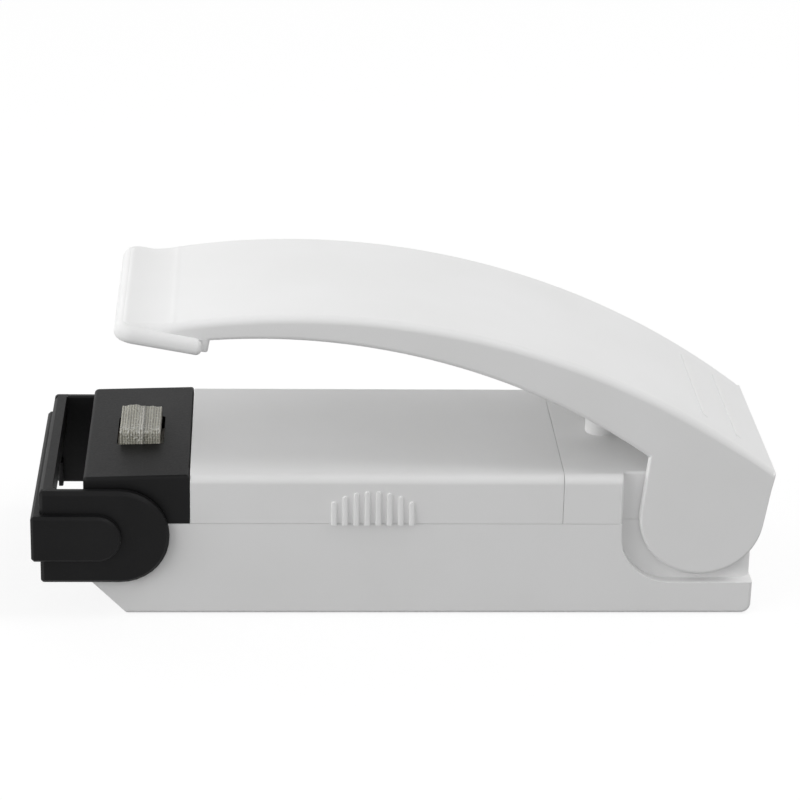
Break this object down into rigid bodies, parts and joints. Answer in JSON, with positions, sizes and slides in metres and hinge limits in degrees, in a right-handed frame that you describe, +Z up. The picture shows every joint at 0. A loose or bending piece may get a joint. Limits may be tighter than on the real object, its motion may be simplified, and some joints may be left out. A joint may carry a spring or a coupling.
{
  "type": "hand-held bag heat sealer",
  "caption": "Hand-held battery bag sealer: an arched press lever with a soft foot closes on a small heated strip at the front of a slim body, with a swinging bail at its nose",
  "frame": {"origin": "middle of the flat underside of the body", "axes": "+X along the body to the lever's hinge, with the heated head at -X; +Y across the body; +Z up"},
  "size_m": [0.1155, 0.0444, 0.0496],
  "materials": {
    "white_plastic": "fine satin moulded surface",
    "black_plastic": "satin moulded surface",
    "silicone": "soft matt silicone",
    "insulator": "unglazed",
    "resistance_strip": "rolled strip",
    "glass_cloth": "plain weave, coated",
    "contact_metal": "bright pressed strip",
    "spring_steel": "drawn wire, zinc plated",
    "cell_jacket": "plain printed sleeve, left bare"
  },
  "bodies": {
    "base": {"base_case": "white_plastic", "rear_cover": "white_plastic", "heater_head": "black_plastic", "heater_block": "insulator", "heating_ribbon": "resistance_strip", "cloth_cover": "glass_cloth", "front_contact_left": "contact_metal", "front_contact_right": "contact_metal", "rear_contact_left": "contact_metal", "rear_contact_right": "contact_metal", "front_spring": "spring_steel", "rear_spring": "spring_steel", "cell_left": "cell_jacket", "cell_right": "cell_jacket", "hinge_pin": "spring_steel", "case_screws": "spring_steel", "return_spring": "spring_steel"},
    "press_lever": {"lever": "white_plastic", "pad_holder": "black_plastic", "press_pad": "silicone"},
    "plunger": {"switch_plunger": "white_plastic", "contact_ring": "contact_metal"},
    "bail": {"guard": "black_plastic"},
    "cover": {"battery_cover": "white_plastic"}
  },
  "joints": [
    {"name": "lever_hinge", "type": "hinge", "parent": "base", "child": "press_lever", "pos_m": [0.0439, 0, 0.0164], "axis": [0, -1, 0], "range_deg": [0, 10.4], "stiffness_Nm_per_rad": 2, "springref_deg": -8.59},
    {"name": "plunger_slide", "type": "slide", "parent": "base", "child": "plunger", "axis": [0, 0, -1], "range_m": [0, 0.00263], "deforming": ["return_spring"]},
    {"name": "guard_swing", "type": "hinge", "parent": "base", "child": "bail", "pos_m": [-0.0467, 0, 0.01395], "axis": [0, 1, 0], "range_deg": [0, 45]},
    {"name": "cover_lift", "type": "slide", "parent": "base", "child": "cover", "axis": [0, 0, 1], "range_m": [0, 0.005]}
  ],
  "couplings": [
    {"joint": "plunger_slide", "follows": "lever_hinge", "m_per_rad": 0.01444}
  ]
}
